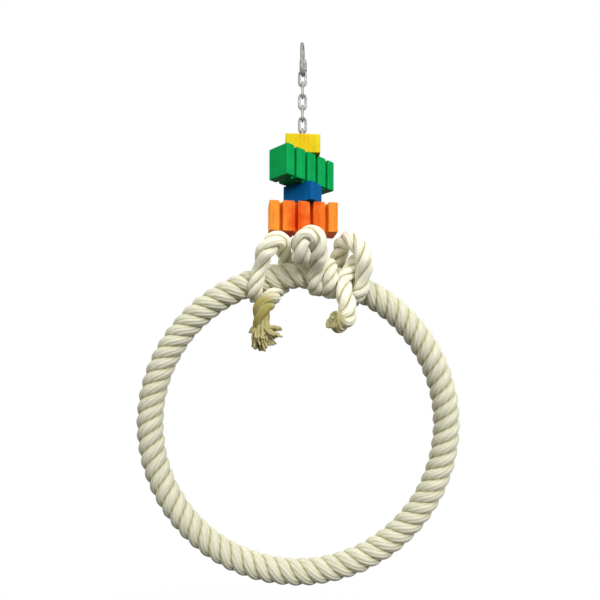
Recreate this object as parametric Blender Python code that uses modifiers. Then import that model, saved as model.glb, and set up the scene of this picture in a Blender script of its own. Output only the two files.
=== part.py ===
"""Rope ring bird swing.

A hoop of thick cotton rope hangs from a short steel chain. The chain runs down through four
drilled, dyed wooden blocks and ends in a steel ring. A thinner cotton rope is tied through that
steel ring and hitched round the hoop. A quick link at the top hangs the swing on a cage bar.

Metres, +Z up. The origin is the point where the bar bears on the inside of the quick link. +X is to
the right when the hoop is seen from the front, and +Y points to the back.
"""
import math

import bmesh
import bpy
import numpy as np
from mathutils import Matrix, Vector

MM = 0.001

# Clearances
SEAT_GAP = 0.0003
BORE_GAP = 0.0012
TUNNEL_GAP = 0.0006
WRAP_GAP = 0.0006

# Quick link and its sleeve nut
LINK_WIRE = 0.0030
LINK_INNER_HEIGHT = 0.0252
LINK_INNER_WIDTH = 0.0080
LINK_YAW = math.radians(8)
GATE_GAP = 0.0045
NUT_LENGTH = 0.0105
NUT_ACROSS_FLATS = 0.0066

# Chain
CHAIN_WIRE = 0.0024
CHAIN_INNER_LENGTH = 0.01137
CHAIN_INNER_WIDTH = 0.0038
CHAIN_COUNT = 14
SWINGING_LINKS = 5

# Steel ring under the blocks
TIE_RING_WIRE = 0.0030
TIE_RING_INNER = 0.0160

# Wooden blocks, as length, width and height
PLAIN_LENGTH = 0.0325
PLAIN_WIDTH = 0.0180
PLAIN_HEIGHT = 0.0175
GROOVED_LENGTH = 0.0640
GROOVED_WIDTH = 0.0245
GROOVED_HEIGHT = 0.0280
GROOVE_COUNT = 4
GROOVE_PITCH = 0.0142
GROOVE_WIDTH = 0.0032
GROOVE_DEPTH = 0.0060
BLOCK_EDGE = 0.0006
YELLOW_TURN = math.radians(4)
GREEN_TURN = math.radians(46)
BLUE_TURN = math.radians(-33)
ORANGE_TURN = math.radians(7)

# Rope hoop, its steel core and the sleeve that closes the core
HOOP_OUTER = 0.305
HOOP_ROPE = 0.025
HOOP_SHIFT = -0.004
HOOP_DROP = 0.0059
HOOP_JOINT_ANGLE = math.radians(8)
HOOP_JOINT_GAP = 0.0008
CORE_WIRE = 0.0050
SLEEVE_WALL = 0.0016
SLEEVE_LENGTH = 0.0220

# Tying rope
TIE_ROPE = 0.0120
TIE_ROPE_STEP = 0.0068

# Facets
BEND_STEPS = 6
HOOP_STEPS = 60
TIE_RING_STEPS = 28
WIRE_SIDES = 8
BORE_STEPS = 20

# Route of the tying rope, millimetres from the top of the hoop's centreline below the chain.
# Each leg starts in the steel ring. A free stretch is a list of points, and a turn round the hoop
# is (first and last degrees along the hoop, first and last degrees round its rope, slack), where 0
# round the rope is outwards, 90 is the front and 180 is the inside of the hoop. The slack is how far
# the turn stands off the hoop's outer back side.
LEFT_ROUTE = (
    ("free", ((0.0, 10.5, 27.7), (-5.5, 22.0, 21.6), (-17.0, 31.0, 10.3), (-29.0, 31.5, -4.7),
              (-38.0, 22.0, -18.7), (-42.0, 5.0, -25.7), (-43.0, -12.5, -21.2), (-42.0, -19.7, -7.7),
              (-39.0, -20.5, 6.3), (-33.0, -20.7, 19.3), (-26.0, -19.5, 27.6), (-20.0, -12.0, 29.6),
              (-18.0, 0.5, 24.3), (-16.5, 13.3, 14.3), (-16.0, 20.0, 0.3), (-18.5, 16.3, -12.7),
              (-22.5, 4.0, -20.6), (-26.0, -9.0, -21.9), (-29.5, -20.5, -25.7), (-35.0, -26.0, -32.2),
              (-37.5, -25.0, -43.7), (-38.0, -22.0, -57.7), (-38.0, -20.0, -70.7))),
)
RIGHT_ROUTE = (
    ("free", ((0.0, -7.5, 27.7), (-0.3, -13.6, 26.2), (-0.8, -17.6, 21.8), (-1.0, -20.0, 15.9),
              (-1.1, -24.4, 12.0), (-1.2, -30.0, 12.1), (-1.3, -34.2, 16.2), (-1.0, -36.0, 21.6),
              (1.0, -36.9, 26.6), (6.3, -37.4, 29.0), (11.7, -36.4, 26.9), (14.2, -32.4, 20.6),
              (14.1, -26.0, 10.8))),
    ("turn", (6.4, 15.0, 105.0, 630.0, 2.0)),
    ("free", ((34.2, 18.9, 8.3), (35.9, 11.9, 22.3), (39.2, 1.0, 31.0), (45.3, -9.0, 31.2),
              (52.2, -17.2, 23.0), (56.3, -20.3, 8.3), (55.9, -20.3, -4.7))),
    ("turn", (25.0, 17.6, 100.0, 450.0, 8.0)),
    ("free", ((38.2, -22.4, -22.4), (40.6, -24.6, -33.7), (39.0, -26.6, -43.7), (32.8, -30.0, -48.2),
              (26.4, -35.2, -46.2))),
)
TURN_STEP = 35.0
SLACK_SIDE = 45.0

# Derived sizes and levels
HOOP_RADIUS = (HOOP_OUTER - HOOP_ROPE) / 2
WRAP_RADIUS = HOOP_ROPE / 2 + TIE_ROPE / 2 + WRAP_GAP
NUT_BORE = LINK_WIRE + 2 * SEAT_GAP
LEG_OFFSET = LINK_INNER_WIDTH / 2 + LINK_WIRE / 2
LEG_BOTTOM = -(LINK_INNER_HEIGHT - LINK_INNER_WIDTH / 2)
LINK_BOTTOM_WIRE = -LINK_INNER_HEIGHT - LINK_WIRE / 2
CHAIN_PITCH = CHAIN_INNER_LENGTH - SEAT_GAP
CHAIN_REACH = CHAIN_INNER_LENGTH + CHAIN_WIRE
CHAIN_OUTER_WIDTH = CHAIN_INNER_WIDTH + 2 * CHAIN_WIRE
FIRST_TOP_WIRE = -LINK_INNER_HEIGHT + SEAT_GAP + CHAIN_WIRE / 2
LAST_BOTTOM_WIRE = FIRST_TOP_WIRE - (CHAIN_COUNT - 1) * CHAIN_PITCH - CHAIN_REACH
TIE_RING_TOP_WIRE = LAST_BOTTOM_WIRE + CHAIN_WIRE / 2 + SEAT_GAP + TIE_RING_WIRE / 2
TIE_RING_RADIUS = (TIE_RING_INNER + TIE_RING_WIRE) / 2
TIE_RING_CENTRE = TIE_RING_TOP_WIRE - TIE_RING_RADIUS
TIE_ROPE_SEAT = TIE_RING_CENTRE - TIE_RING_INNER / 2 + TIE_ROPE / 2 + SEAT_GAP
HOOP_TOP = TIE_RING_CENTRE - TIE_RING_RADIUS - TIE_RING_WIRE / 2 - HOOP_DROP - HOOP_ROPE / 2
HOOP_CENTRE = Vector((HOOP_SHIFT, 0, HOOP_TOP - HOOP_RADIUS))
BLOCK_BORE = CHAIN_OUTER_WIDTH + 2 * BORE_GAP
BORE_MOUTH = BLOCK_BORE / 2 + BLOCK_EDGE
RING_SHOULDER = TIE_RING_RADIUS + TIE_RING_WIRE / 2 + SEAT_GAP
STACK_BOTTOM = TIE_RING_CENTRE + math.sqrt(RING_SHOULDER**2 - BORE_MOUTH**2)
CORE_TUNNEL = CORE_WIRE + 2 * TUNNEL_GAP
SLEEVE_OUTER = CORE_TUNNEL + 2 * SLEEVE_WALL


def clear_scene():
    """Remove every object, so that the script can run again."""
    for item in list(bpy.data.objects):
        bpy.data.objects.remove(item, do_unlink=True)


def new_collection(name):
    """Make a collection in the scene."""
    collection = bpy.data.collections.new(name)
    bpy.context.scene.collection.children.link(collection)
    return collection


def material(name, colour, roughness, metallic=0.0):
    """Make a Principled material of one colour."""
    mat = bpy.data.materials.new(name)
    mat.use_nodes = True
    shader = mat.node_tree.nodes["Principled BSDF"]
    shader.inputs["Base Color"].default_value = (*colour, 1.0)
    shader.inputs["Roughness"].default_value = roughness
    shader.inputs["Metallic"].default_value = metallic
    mat.diffuse_color = (*colour, 1.0)
    return mat


def world_place(item):
    """Place of an unturned object, as the sum of its own and its parents' locations."""
    place = Vector()
    while item:
        place += item.location
        item = item.parent
    return place


def pivot(name, place, parent=None):
    """Empty on a joint's axis, which carries the pieces that turn about it."""
    empty = bpy.data.objects.new(name, None)
    empty.empty_display_size = 0.01
    PARTS.objects.link(empty)
    empty.parent = parent
    empty.location = Vector(place) - world_place(parent)
    return empty


def add_part(name, data, parent, place, finish, turn=0.0):
    """Make a named piece at a place in the world, turned about Z, and hang it on its pivot."""
    item = bpy.data.objects.new(name, data)
    PARTS.objects.link(item)
    item.parent = parent
    item.location = Vector(place) - world_place(parent)
    item.rotation_euler = (0, 0, turn)
    item.data.materials.append(finish)
    return item


def add_cutter(name, data, parent, place, turn=0.0):
    """Make a hidden cutting shape beside the piece that it cuts."""
    item = bpy.data.objects.new(name, data)
    CUTTERS.objects.link(item)
    item.parent = parent
    item.location = Vector(place) - world_place(parent)
    item.rotation_euler = (0, 0, turn)
    item.hide_render = True
    item.display_type = "WIRE"
    return item


def cut(item, cutter):
    """Cut one shape out of another."""
    boolean = item.modifiers.new(cutter.name, "BOOLEAN")
    boolean.operation = "DIFFERENCE"
    boolean.solver = "EXACT"
    boolean.object = cutter


def wire_curve(name, points, diameter, closed=False, sides=WIRE_SIDES):
    """Round wire along points, as a bevelled curve with filled ends."""
    curve = bpy.data.curves.new(name, "CURVE")
    curve.dimensions = "3D"
    curve.bevel_depth = diameter / 2
    curve.bevel_resolution = sides // 2 - 2
    curve.use_fill_caps = not closed
    spline = curve.splines.new("POLY")
    spline.points.add(len(points) - 1)
    for slot, point in zip(spline.points, points):
        slot.co = (*point, 1.0)
    spline.use_cyclic_u = closed
    spline.use_smooth = True
    return curve


def wire_mesh(name, points, diameter, sides=WIRE_SIDES):
    """Round bar along points as a closed mesh, for a piece that is cut or that cuts."""
    curve = wire_curve(name + "_bar", points, diameter, sides=sides)
    bar = bpy.data.objects.new(name + "_bar", curve)
    PARTS.objects.link(bar)
    graph = bpy.context.evaluated_depsgraph_get()
    mesh = bpy.data.meshes.new_from_object(bar.evaluated_get(graph))
    mesh.name = name
    bpy.data.objects.remove(bar, do_unlink=True)
    shape = bmesh.new()
    shape.from_mesh(mesh)
    bmesh.ops.remove_doubles(shape, verts=shape.verts, dist=1e-6)
    shape.to_mesh(mesh)
    shape.free()
    return mesh


def ring_mesh(name, radius, wire, steps):
    """Round ring of round wire, standing in the XZ plane."""
    bpy.ops.mesh.primitive_torus_add(major_radius=radius, minor_radius=wire / 2,
                                     major_segments=steps, minor_segments=WIRE_SIDES,
                                     rotation=(math.pi / 2, 0, 0))
    torus = bpy.context.object
    mesh = torus.data
    mesh.name = name
    mesh.transform(torus.matrix_world)
    bpy.data.objects.remove(torus, do_unlink=True)
    mesh.shade_smooth()
    return mesh


def box_shape(shape, size, place):
    """Add a box to a mesh under construction."""
    matrix = Matrix.LocRotScale(Vector(place), None, Vector(size))
    bmesh.ops.create_cube(shape, size=1.0, matrix=matrix)


def prism_shape(shape, radius, height, steps):
    """Add an upright prism or cylinder, centred on the origin, to a mesh under construction."""
    bmesh.ops.create_cone(shape, cap_ends=True, segments=steps, radius1=radius, radius2=radius,
                          depth=height)


def shape_mesh(name, shape):
    """Turn a mesh under construction into mesh data."""
    mesh = bpy.data.meshes.new(name)
    shape.to_mesh(mesh)
    shape.free()
    return mesh


def half_circle(centre, radius, start):
    """Points of half a circle in the UZ plane, from an angle on, with both ends."""
    angles = [start + math.pi * step / BEND_STEPS for step in range(BEND_STEPS + 1)]
    return [(radius * math.cos(angle), centre + radius * math.sin(angle)) for angle in angles]


def chain_outline():
    """Centreline of a chain link in its own plane, with its top at zero."""
    radius = (CHAIN_INNER_WIDTH + CHAIN_WIRE) / 2
    return half_circle(-radius, radius, 0) + half_circle(radius - CHAIN_REACH, radius, math.pi)


def hoop_place(along, around, out):
    """Point beside the hoop, from degrees along it, degrees round its rope and a distance."""
    turn = math.radians(along)
    lean = math.radians(around)
    radial = HOOP_RADIUS + out * math.cos(lean)
    return HOOP_CENTRE + Vector((radial * math.sin(turn), -out * math.sin(lean),
                                 radial * math.cos(turn)))


def hoop_arc(start, end, steps):
    """Points on the hoop's centreline, relative to its centre, between two angles from the top."""
    angles = [start + (end - start) * step / steps for step in range(steps + 1)]
    return [(HOOP_RADIUS * math.sin(angle), 0, HOOP_RADIUS * math.cos(angle)) for angle in angles]


def route_points(route, start):
    """Points of one leg of the tying rope, in the world."""
    points = [Vector(start)]
    for kind, values in route:
        if kind == "free":
            points += [Vector(value) * MM + Vector((0, 0, HOOP_TOP)) for value in values]
            continue
        along_start, along_end, around_start, around_end, slack = values
        steps = round(abs(around_end - around_start) / TURN_STEP)
        for step in range(steps + 1):
            along = along_start + (along_end - along_start) * step / steps
            around = around_start + (around_end - around_start) * step / steps
            stand_off = slack * MM * max(0.0, math.cos(math.radians(around + SLACK_SIDE)))
            points.append(hoop_place(along, around, WRAP_RADIUS + stand_off))
    return points


def smooth_route(points, spacing):
    """Read a smooth curve through points at an even spacing.

    Each stretch is a cubic between two points. Its slopes come from the neighbouring points, with
    the square roots of the distances as the curve's own measure, so that it doesn't overshoot.
    """
    given = np.array(points)
    ends = np.vstack((2 * given[0] - given[1], given, 2 * given[-1] - given[-2]))
    root = np.sqrt(np.linalg.norm(np.diff(ends, axis=0), axis=1))[:, None]
    chord = np.diff(ends, axis=0) / root
    wide = (ends[2:] - ends[:-2]) / (root[:-1] + root[1:])
    slope = (chord[:-1] - wide + chord[1:])[:, None, :]
    span = root[1:-1, :, None]
    t = np.linspace(0, 1, 40, endpoint=False)[None, :, None]
    fine = ((2 * t**3 - 3 * t**2 + 1) * given[:-1, None, :]
            + (t**3 - 2 * t**2 + t) * span * slope[:-1]
            + (3 * t**2 - 2 * t**3) * given[1:, None, :]
            + (t**3 - t**2) * span * slope[1:])
    fine = np.vstack((fine.reshape(-1, 3), given[-1:]))
    travel = np.concatenate(([0], np.cumsum(np.linalg.norm(np.diff(fine, axis=0), axis=1))))
    marks = np.linspace(0, travel[-1], round(travel[-1] / spacing) + 1)
    return np.column_stack([np.interp(marks, travel, fine[:, axis]) for axis in range(3)])


def make_quick_link(parent):
    """Oval hook of round wire, open at the gate on its back leg, with a six-sided sleeve nut."""
    steel = material("zinc_plated_steel", (0.62, 0.63, 0.64), 0.3, 1.0)
    radius = LEG_OFFSET
    top_bend = half_circle(-LINK_INNER_WIDTH / 2, radius, 0)
    bottom_bend = half_circle(LEG_BOTTOM, radius, math.pi)
    nut_bottom = LEG_BOTTOM + SEAT_GAP
    gate_bottom = nut_bottom + (NUT_LENGTH - GATE_GAP) / 4
    outline = ([(radius, gate_bottom + GATE_GAP)] + top_bend + bottom_bend + [(radius, gate_bottom)])
    points = [(0, across, height) for across, height in outline]
    curve = wire_curve("quick_link", points, LINK_WIRE)
    add_part("quick_link", curve, parent, (0, 0, 0), steel, -LINK_YAW)

    brass = material("plated_nut", (0.70, 0.69, 0.66), 0.25, 1.0)
    leg = Matrix.Rotation(-LINK_YAW, 3, "Z") @ Vector((0, LEG_OFFSET, 0))
    middle = leg + Vector((0, 0, nut_bottom + NUT_LENGTH / 2))
    slide = pivot("nut_slide", middle, parent)
    shape = bmesh.new()
    prism_shape(shape, NUT_ACROSS_FLATS / math.sqrt(3), NUT_LENGTH, 6)
    nut = add_part("quick_link_nut", shape_mesh("quick_link_nut", shape), slide, middle, brass,
                   -LINK_YAW)
    shape = bmesh.new()
    prism_shape(shape, NUT_BORE / 2, NUT_LENGTH * 2, BORE_STEPS)
    cut(nut, add_cutter("nut_bore", shape_mesh("nut_bore", shape), slide, middle))


def make_chain(parent):
    """Fourteen links, each hung in the one above and turned a quarter from it.

    The first five swing one by one. The rest are held straight inside the blocks. Returns the
    pivot that carries them.
    """
    steel = material("chain_steel", (0.58, 0.59, 0.60), 0.35, 1.0)
    outline = chain_outline()
    support = LINK_BOTTOM_WIRE
    for number in range(1, CHAIN_COUNT + 1):
        top = FIRST_TOP_WIRE - (number - 1) * CHAIN_PITCH
        if number <= SWINGING_LINKS + 1:
            parent = pivot(f"chain_pivot_{number:02d}", (0, 0, support), parent)
        points = [(across, 0, height) for across, height in outline]
        if number % 2 == 0:
            points = [(0, across, height) for across, height in outline]
        curve = wire_curve(f"chain_link_{number:02d}", points, CHAIN_WIRE, closed=True)
        add_part(f"chain_link_{number:02d}", curve, parent, (0, 0, top), steel)
        support = top - CHAIN_REACH
    return parent


def make_block(name, size, turn, bottom, grooved, finish, parent):
    """Wooden block drilled for the chain, with grooves down both long faces if it has them."""
    length, width, height = size
    place = Vector((0, 0, bottom + height / 2))
    spin = pivot(name + "_spin", place, parent)
    shape = bmesh.new()
    box_shape(shape, size, (0, 0, 0))
    block = add_part(name, shape_mesh(name, shape), spin, place, finish, turn)
    shape = bmesh.new()
    prism_shape(shape, BLOCK_BORE / 2, height * 2, BORE_STEPS)
    if grooved:
        middle = (GROOVE_COUNT - 1) / 2
        for step in range(GROOVE_COUNT):
            across = (step - middle) * GROOVE_PITCH
            for side in (-1, 1):
                box_shape(shape, (GROOVE_WIDTH, GROOVE_DEPTH * 2, height * 2),
                          (across, side * width / 2, 0))
    cut(block, add_cutter(name + "_cutter", shape_mesh(name + "_cutter", shape), spin, place, turn))
    bevel = block.modifiers.new("eased_edges", "BEVEL")
    bevel.width = BLOCK_EDGE
    bevel.segments = 1
    bevel.limit_method = "ANGLE"
    bevel.angle_limit = math.radians(40)


def make_blocks(parent):
    """Four dyed blocks on the chain, from the lowest up.

    The lowest rests with the mouth of its bore on the shoulders of the steel ring.
    """
    plain = (PLAIN_LENGTH, PLAIN_WIDTH, PLAIN_HEIGHT)
    grooved = (GROOVED_LENGTH, GROOVED_WIDTH, GROOVED_HEIGHT)
    stack = (
        ("orange_block", grooved, ORANGE_TURN, (0.85, 0.20, 0.03)),
        ("blue_block", plain, BLUE_TURN, (0.02, 0.11, 0.42)),
        ("green_block", grooved, GREEN_TURN, (0.02, 0.36, 0.10)),
        ("yellow_block", plain, YELLOW_TURN, (0.92, 0.68, 0.03)),
    )
    level = STACK_BOTTOM
    for name, size, turn, colour in stack:
        finish = material(name.replace("block", "dyed_wood"), colour, 0.55)
        make_block(name, size, turn, level, size is grooved, finish, parent)
        level += size[2] + SEAT_GAP


def make_hoop(parent):
    """Rope hoop, its steel core and the sleeve over the core's joint.

    The rope is a tube whose two ends butt together, and the core runs through its tunnel.
    """
    cotton = material("hoop_cotton", (0.80, 0.75, 0.64), 0.9)
    steel = material("core_steel", (0.50, 0.51, 0.52), 0.4, 1.0)
    half_gap = HOOP_JOINT_GAP / 2 / HOOP_RADIUS
    start = HOOP_JOINT_ANGLE + half_gap
    end = HOOP_JOINT_ANGLE + math.tau - half_gap
    around = hoop_arc(start, end, HOOP_STEPS)
    half_sleeve = SLEEVE_LENGTH / 2 / HOOP_RADIUS
    half_pocket = half_sleeve + SEAT_GAP / HOOP_RADIUS
    sleeve_line = hoop_arc(HOOP_JOINT_ANGLE - half_sleeve, HOOP_JOINT_ANGLE + half_sleeve, 4)
    pocket_line = hoop_arc(HOOP_JOINT_ANGLE - half_pocket, HOOP_JOINT_ANGLE + half_pocket, 4)

    tunnel = add_cutter("core_tunnel", ring_mesh("core_tunnel", HOOP_RADIUS, CORE_TUNNEL, HOOP_STEPS),
                        parent, HOOP_CENTRE)
    pocket_width = SLEEVE_OUTER + 2 * TUNNEL_GAP
    pocket = add_cutter("sleeve_pocket", wire_mesh("sleeve_pocket", pocket_line, pocket_width),
                        parent, HOOP_CENTRE)
    rope_mesh = wire_mesh("hoop_rope", around, HOOP_ROPE, sides=12)
    rope = add_part("hoop_rope", rope_mesh, parent, HOOP_CENTRE, cotton)
    cut(rope, tunnel)
    cut(rope, pocket)
    add_part("hoop_core", wire_curve("hoop_core", around, CORE_WIRE), parent, HOOP_CENTRE, steel)
    sleeve_mesh = wire_mesh("core_sleeve", sleeve_line, SLEEVE_OUTER)
    sleeve = add_part("core_sleeve", sleeve_mesh, parent, HOOP_CENTRE,
                      material("sleeve_metal", (0.66, 0.67, 0.68), 0.4, 1.0))
    cut(sleeve, tunnel)


def make_tie(parent):
    """Steel ring on the last chain link, and the two legs of the rope tied through it."""
    steel = material("tie_ring_steel", (0.60, 0.61, 0.62), 0.3, 1.0)
    ring = ring_mesh("tie_ring", TIE_RING_RADIUS, TIE_RING_WIRE, TIE_RING_STEPS)
    add_part("tie_ring", ring, parent, (0, 0, TIE_RING_CENTRE), steel)
    cotton = material("tie_cotton", (0.83, 0.79, 0.68), 0.9)
    for name, route, side in (("tie_rope_left", LEFT_ROUTE, 1), ("tie_rope_right", RIGHT_ROUTE, -1)):
        start = (0, side * SEAT_GAP, TIE_ROPE_SEAT)
        points = smooth_route(route_points(route, start), TIE_ROPE_STEP)
        curve = wire_curve(name, points - np.array(world_place(parent)), TIE_ROPE)
        add_part(name, curve, parent, world_place(parent), cotton)


clear_scene()
PARTS = new_collection("rope_ring_bird_swing")
CUTTERS = new_collection("cutters")
hang_point = pivot("hang_point", (0, 0, 0))
make_quick_link(hang_point)
chain_end = make_chain(hang_point)
make_blocks(chain_end)
hoop_pivot = pivot("hoop_pivot", (0, 0, TIE_RING_TOP_WIRE), chain_end)
make_tie(hoop_pivot)
make_hoop(hoop_pivot)
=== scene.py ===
"""Looks of a rope ring bird swing, built round its packed CAD frame.

A hoop of three-strand cotton rope hangs from a steel chain. The chain runs through four dyed wooden
blocks, and a thinner cotton rope ties the hoop to a steel ring under them. Metres, +Z up, +X right
and +Y to the back, with the origin where the swing hangs.
"""
import math

import bpy
import numpy as np
from bpy.props import FloatProperty, FloatVectorProperty, IntProperty, PointerProperty
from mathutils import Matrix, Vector
from mathutils.geometry import delaunay_2d_cdt


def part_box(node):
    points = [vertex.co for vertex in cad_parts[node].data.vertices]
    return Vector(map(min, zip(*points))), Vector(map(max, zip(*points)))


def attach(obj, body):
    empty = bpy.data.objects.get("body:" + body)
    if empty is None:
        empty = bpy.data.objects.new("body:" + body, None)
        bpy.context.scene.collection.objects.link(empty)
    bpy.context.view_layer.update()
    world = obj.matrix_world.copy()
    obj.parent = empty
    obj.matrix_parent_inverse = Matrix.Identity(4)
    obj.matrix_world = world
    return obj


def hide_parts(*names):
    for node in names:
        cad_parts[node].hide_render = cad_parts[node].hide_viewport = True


bl_info = {
    "name": "Rope ring bird swing",
    "version": (1, 0, 0),
    "blender": (4, 5, 0),
    "location": "View3D > Sidebar > Swing",
    "description": "Dresses the CAD frame of a rope ring bird swing in rope, wood and steel",
    "category": "Object",
}

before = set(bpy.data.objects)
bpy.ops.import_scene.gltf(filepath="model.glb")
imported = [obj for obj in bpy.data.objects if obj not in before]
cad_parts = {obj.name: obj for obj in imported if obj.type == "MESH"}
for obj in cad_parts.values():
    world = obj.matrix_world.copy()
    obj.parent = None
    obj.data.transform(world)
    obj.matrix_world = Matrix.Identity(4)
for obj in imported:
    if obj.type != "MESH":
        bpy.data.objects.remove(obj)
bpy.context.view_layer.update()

MM = 0.001

# Hoop, tying rope and steel ring, as in the part's source
HOOP_RADIUS = 0.140
HOOP_SHIFT = -0.004
HOOP_DROP = 0.0059
HOOP_ROPE = 0.025
HOOP_TUNNEL = 0.0062
TIE_ROPE = 0.012
TIE_RING_WIRE = 0.003
TIE_RING_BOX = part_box("tie_ring")
TIE_RING_BOTTOM = TIE_RING_BOX[0][2]
SEAT_GAP = 0.0003
WRAP_GAP = 0.0006
TIE_ROPE_SEAT = TIE_RING_BOTTOM + TIE_RING_WIRE + TIE_ROPE / 2 + SEAT_GAP
HOOP_TOP = TIE_RING_BOTTOM - HOOP_DROP - HOOP_ROPE / 2
HOOP_CENTRE = np.array((HOOP_SHIFT, 0.0, HOOP_TOP - HOOP_RADIUS))
WRAP_RADIUS = HOOP_ROPE / 2 + TIE_ROPE / 2 + WRAP_GAP
TURN_STEP = 35.0
SLACK_SIDE = 45.0

# Route of the tying rope, millimetres from the top of the hoop's centreline below the chain.
# A turn round the hoop gives its first and last degrees along the hoop, its first and last degrees
# round the hoop's rope, and its slack.
LEFT_ROUTE = (
    ("free", ((0.0, 10.5, 27.7), (-5.5, 22.0, 21.6), (-17.0, 31.0, 10.3), (-29.0, 31.5, -4.7),
              (-38.0, 22.0, -18.7), (-42.0, 5.0, -25.7), (-43.0, -12.5, -21.2), (-42.0, -19.7, -7.7),
              (-39.0, -20.5, 6.3), (-33.0, -20.7, 19.3), (-26.0, -19.5, 27.6), (-20.0, -12.0, 29.6),
              (-18.0, 0.5, 24.3), (-16.5, 13.3, 14.3), (-16.0, 20.0, 0.3), (-18.5, 16.3, -12.7),
              (-22.5, 4.0, -20.6), (-26.0, -9.0, -21.9), (-29.5, -20.5, -25.7), (-35.0, -26.0, -32.2),
              (-37.5, -25.0, -43.7), (-38.0, -22.0, -57.7), (-38.0, -20.0, -70.7))),
)
RIGHT_ROUTE = (
    ("free", ((0.0, -7.5, 27.7), (-0.3, -13.6, 26.2), (-0.8, -17.6, 21.8), (-1.0, -20.0, 15.9),
              (-1.1, -24.4, 12.0), (-1.2, -30.0, 12.1), (-1.3, -34.2, 16.2), (-1.0, -36.0, 21.6),
              (1.0, -36.9, 26.6), (6.3, -37.4, 29.0), (11.7, -36.4, 26.9), (14.2, -32.4, 20.6),
              (14.1, -26.0, 10.8))),
    ("turn", (6.4, 15.0, 105.0, 630.0, 2.0)),
    ("free", ((34.2, 18.9, 8.3), (35.9, 11.9, 22.3), (39.2, 1.0, 31.0), (45.3, -9.0, 31.2),
              (52.2, -17.2, 23.0), (56.3, -20.3, 8.3), (55.9, -20.3, -4.7))),
    ("turn", (25.0, 17.6, 100.0, 450.0, 8.0)),
    ("free", ((38.2, -22.4, -22.4), (40.6, -24.6, -33.7), (39.0, -26.6, -43.7), (32.8, -30.0, -48.2),
              (26.4, -35.2, -46.2))),
)

# Quick link, as in the part's source
LINK_WIRE = 0.0030
LINK_INNER_HEIGHT = 0.0252
LINK_INNER_WIDTH = 0.0080
LINK_YAW = math.radians(-8)
LINK_LEG = (LINK_INNER_WIDTH + LINK_WIRE) / 2
GATE_GAP = 0.0045
NUT_LENGTH = 0.0105
NUT_ACROSS_FLATS = 0.0066
NUT_BORE = 0.0036
NUT_BOTTOM = -(LINK_INNER_HEIGHT - LINK_INNER_WIDTH / 2) + SEAT_GAP
GATE_BOTTOM = NUT_BOTTOM + (NUT_LENGTH - GATE_GAP) / 4

# Chain
CHAIN_WIRE = 0.0024
CHAIN_INNER_LENGTH = 0.01137
CHAIN_INNER_WIDTH = 0.0038
CHAIN_COUNT = 14
SWINGING_LINKS = 5

# Blocks
PLAIN_LENGTH = 0.0325
PLAIN_WIDTH = 0.0180
GROOVED_LENGTH = 0.0640
GROOVED_WIDTH = 0.0245
GROOVES = 4
GROOVE_PITCH = 0.0142
GROOVE_WIDTH = 0.0032
GROOVE_DEPTH = 0.0060
BLOCK_BORE = 0.0110
EASE_STEPS = 5

# Each block's name, length, width, turn in degrees and grooves down each long face
BLOCKS = (
    ("yellow", PLAIN_LENGTH, PLAIN_WIDTH, 4.0, 0),
    ("green", GROOVED_LENGTH, GROOVED_WIDTH, 46.0, GROOVES),
    ("blue", PLAIN_LENGTH, PLAIN_WIDTH, -33.0, 0),
    ("orange", GROOVED_LENGTH, GROOVED_WIDTH, 7.0, GROOVES),
)


# Settings that a user would change

def number_setting(name, description, default, **kind):
    """A number, with a unit or subtype where one fits."""
    return FloatProperty(name=name, description=description, default=default, **kind)


def length_setting(name, description, default):
    """A length in metres."""
    return number_setting(name, description, default, unit="LENGTH", precision=4)


def power_setting(name, description, default):
    """A lamp's power in watts."""
    return number_setting(name, description, default, unit="POWER")


def colour_setting(name, description, default):
    """A colour in linear light."""
    return FloatVectorProperty(name=name, description=description, default=default, subtype="COLOR",
                               size=3, min=0.0, max=1.0)


class SwingRope(bpy.types.PropertyGroup):
    """Sizes and colours of the two cotton ropes."""

    hoop_turns: IntProperty(name="Hoop turns", default=24, min=6,
                            description="Turns that each strand makes round the whole hoop")
    hoop_yarns: IntProperty(name="Hoop yarns", default=12, description="Yarns in a strand of the hoop")
    tie_lay: length_setting("Tying rope lay", "Length of one turn of a strand in the tying rope", 0.046)
    tie_yarns: IntProperty(name="Tying yarns", default=9,
                           description="Yarns in a strand of the tying rope")
    yarn_depth: number_setting("Yarn depth", "Depth of furrows between yarns, as a share of the strand",
                               0.07, subtype="FACTOR")
    hoop_colour: colour_setting("Hoop cotton", "Colour of the hoop's cotton", (0.765, 0.76, 0.62))
    tie_colour: colour_setting("Tying cotton", "Colour of the tying rope's cotton", (0.97, 0.955, 0.81))
    # Dirt together with painted shade: the colour that the tying rope's tail, fray and cut end are
    # darkened to
    dirt_and_shade_colour: colour_setting("Soiled ends", "Colour of the tying rope's ends", (0.385, 0.325, 0.085))
    # Painted shade: the colour that both ropes are darkened to deep between their strands
    furrow_shade_colour: colour_setting("Furrows", "Colour deep between the strands", (0.47, 0.445, 0.22))


class SwingWood(bpy.types.PropertyGroup):
    """Colours and edges of the dyed blocks."""

    edge: length_setting("Eased edge", "Radius of the sanded edges", 0.0008)
    yellow: colour_setting("Yellow", "Dye of the top block", (0.80, 0.485, 0.004))
    yellow_end: colour_setting("Yellow ends", "Dye near the top block's ends", (0.74, 0.60, 0.011))
    green: colour_setting("Green", "Dye of the second block", (0.0005, 0.375, 0.088))
    blue: colour_setting("Blue", "Dye of the third block", (0.0002, 0.108, 0.345))
    # The lowest block's middle colour is darker than its ends as painted shadow of the blue block above
    # it
    orange: colour_setting("Orange", "Dye of the lowest block", (0.85, 0.064, 0.0025))
    orange_end: colour_setting("Orange ends", "Dye near the lowest block's ends", (0.95, 0.29, 0.033))


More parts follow.
